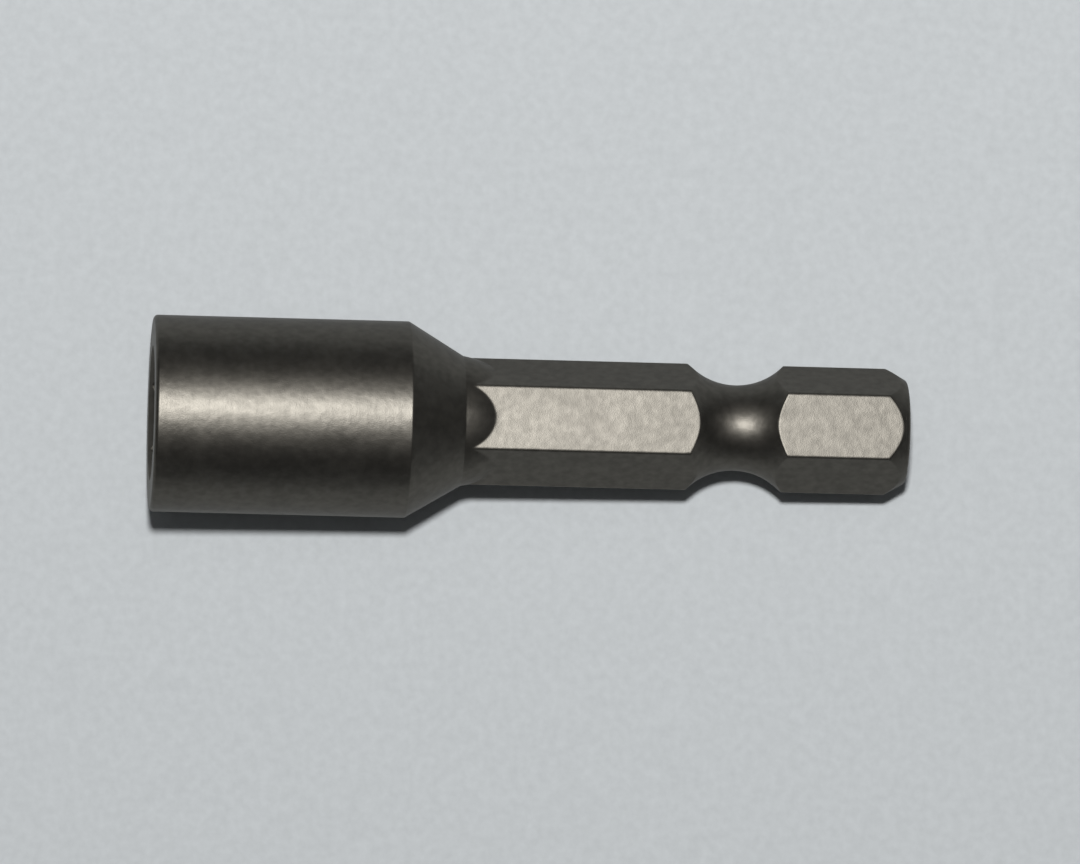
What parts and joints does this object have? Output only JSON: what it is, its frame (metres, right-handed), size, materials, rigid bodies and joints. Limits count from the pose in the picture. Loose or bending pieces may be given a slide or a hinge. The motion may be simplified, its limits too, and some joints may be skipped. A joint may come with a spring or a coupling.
{
  "type": "nut setter",
  "caption": "Magnetic nut setter: round hex-socket head and grooved hex drive shank in one steel piece, with a sprung magnet cup behind the socket.",
  "frame": {"origin": "centre of the shank's end face, on the drive axis", "axes": "+X along the drive axis out of the shank end, away from the socket mouth; +Z out of a shank flat and a socket flat"},
  "size_m": [0.0433, 0.0112, 0.0112],
  "materials": {
    "black_oxide_steel": "black oxide, oiled, satin",
    "spring_steel": "phosphated wire",
    "spring_wire": "bright drawn wire",
    "zinc_plated_steel": "zinc plated",
    "nickel_plate": "nickel plated"
  },
  "bodies": {
    "tool": {"body": "black_oxide_steel", "retaining_ring": "spring_steel", "magnet_spring": "spring_wire"},
    "magnet_carrier": {"magnet_cup": "zinc_plated_steel", "magnet": "nickel_plate"}
  },
  "joints": [
    {"name": "magnet_slide", "type": "slide", "parent": "tool", "child": "magnet_carrier", "axis": [1, 0, 0], "range_m": [0, 0.0024], "stiffness_N_per_m": 560, "springref_m": -0.0015, "deforming": ["magnet_spring"]}
  ]
}
